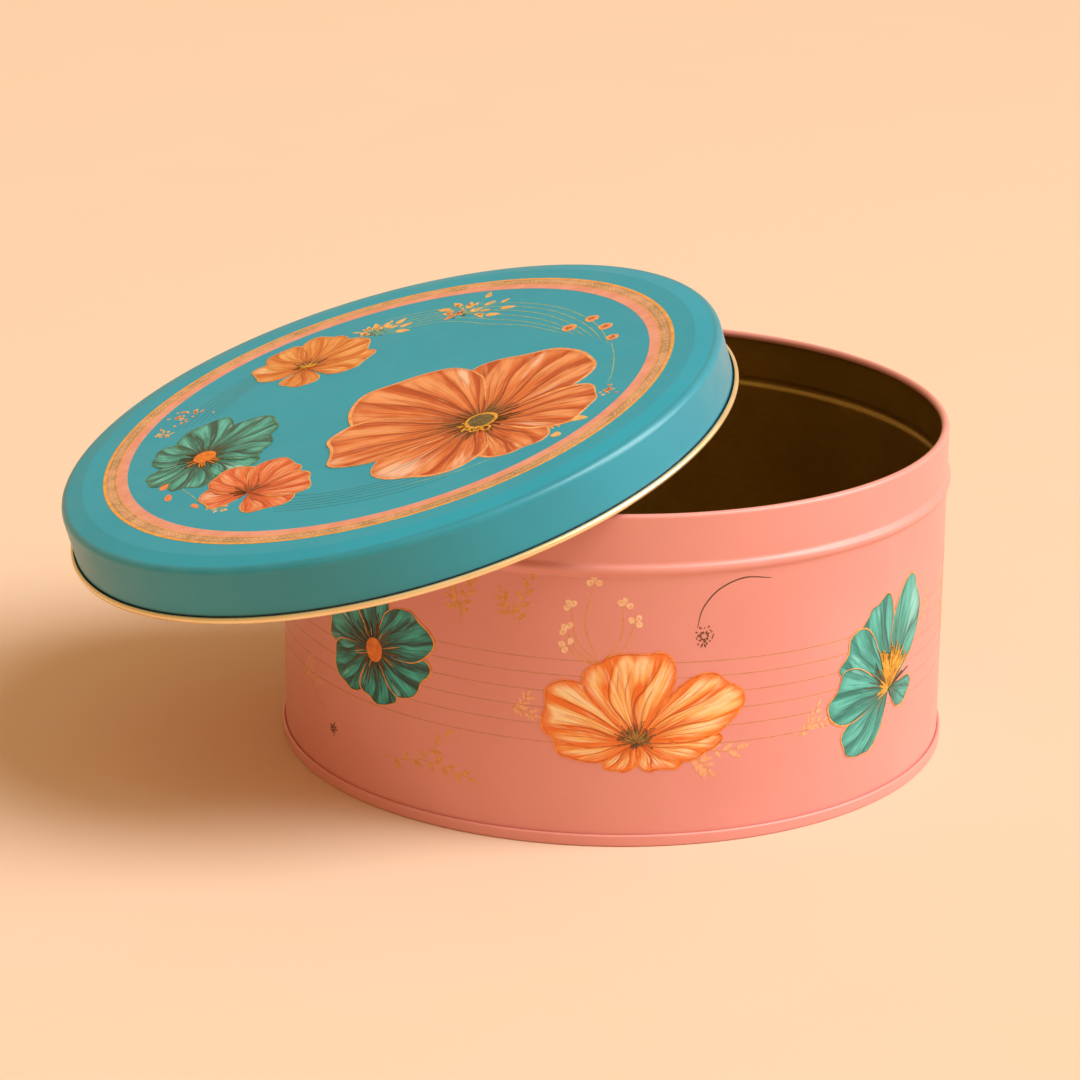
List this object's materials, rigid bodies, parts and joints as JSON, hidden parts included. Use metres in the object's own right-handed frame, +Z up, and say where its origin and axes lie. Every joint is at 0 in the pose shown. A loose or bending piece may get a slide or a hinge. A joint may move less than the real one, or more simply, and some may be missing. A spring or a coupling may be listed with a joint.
{
  "type": "round slip-lid tin",
  "caption": "Round sheet-metal storage tin with a double-seamed bottom, a stop bead and a curled rim; its drawn slip-on lid leans on the rim.",
  "frame": {"origin": "on the tin's axis, at the level that it stands on", "axes": "+Z up along the tin's axis, -X towards the side where the lid overhangs, +Y towards the wall's upright seam"},
  "size_m": [0.2552, 0.1942, 0.1279],
  "materials": {
    "wall_tinplate": "salmon pink satin print outside, gold-brown lacquer inside",
    "bottom_tinplate": "salmon pink satin print outside, gold-brown lacquer inside",
    "lining_compound": "matte grey",
    "lid_tinplate": "teal satin print outside, gold lacquer inside and on the curled edge"
  },
  "bodies": {
    "tin": {"body_wall": "wall_tinplate", "bottom_end": "bottom_tinplate", "bottom_seam_gasket": "lining_compound"},
    "lid": {"lid_shell": "lid_tinplate"}
  },
  "joints": [
    {"name": "lid_lift", "type": "slide", "parent": "tin", "child": "lid", "axis": [0, 0, 1], "range_m": [0, 0.1]}
  ]
}
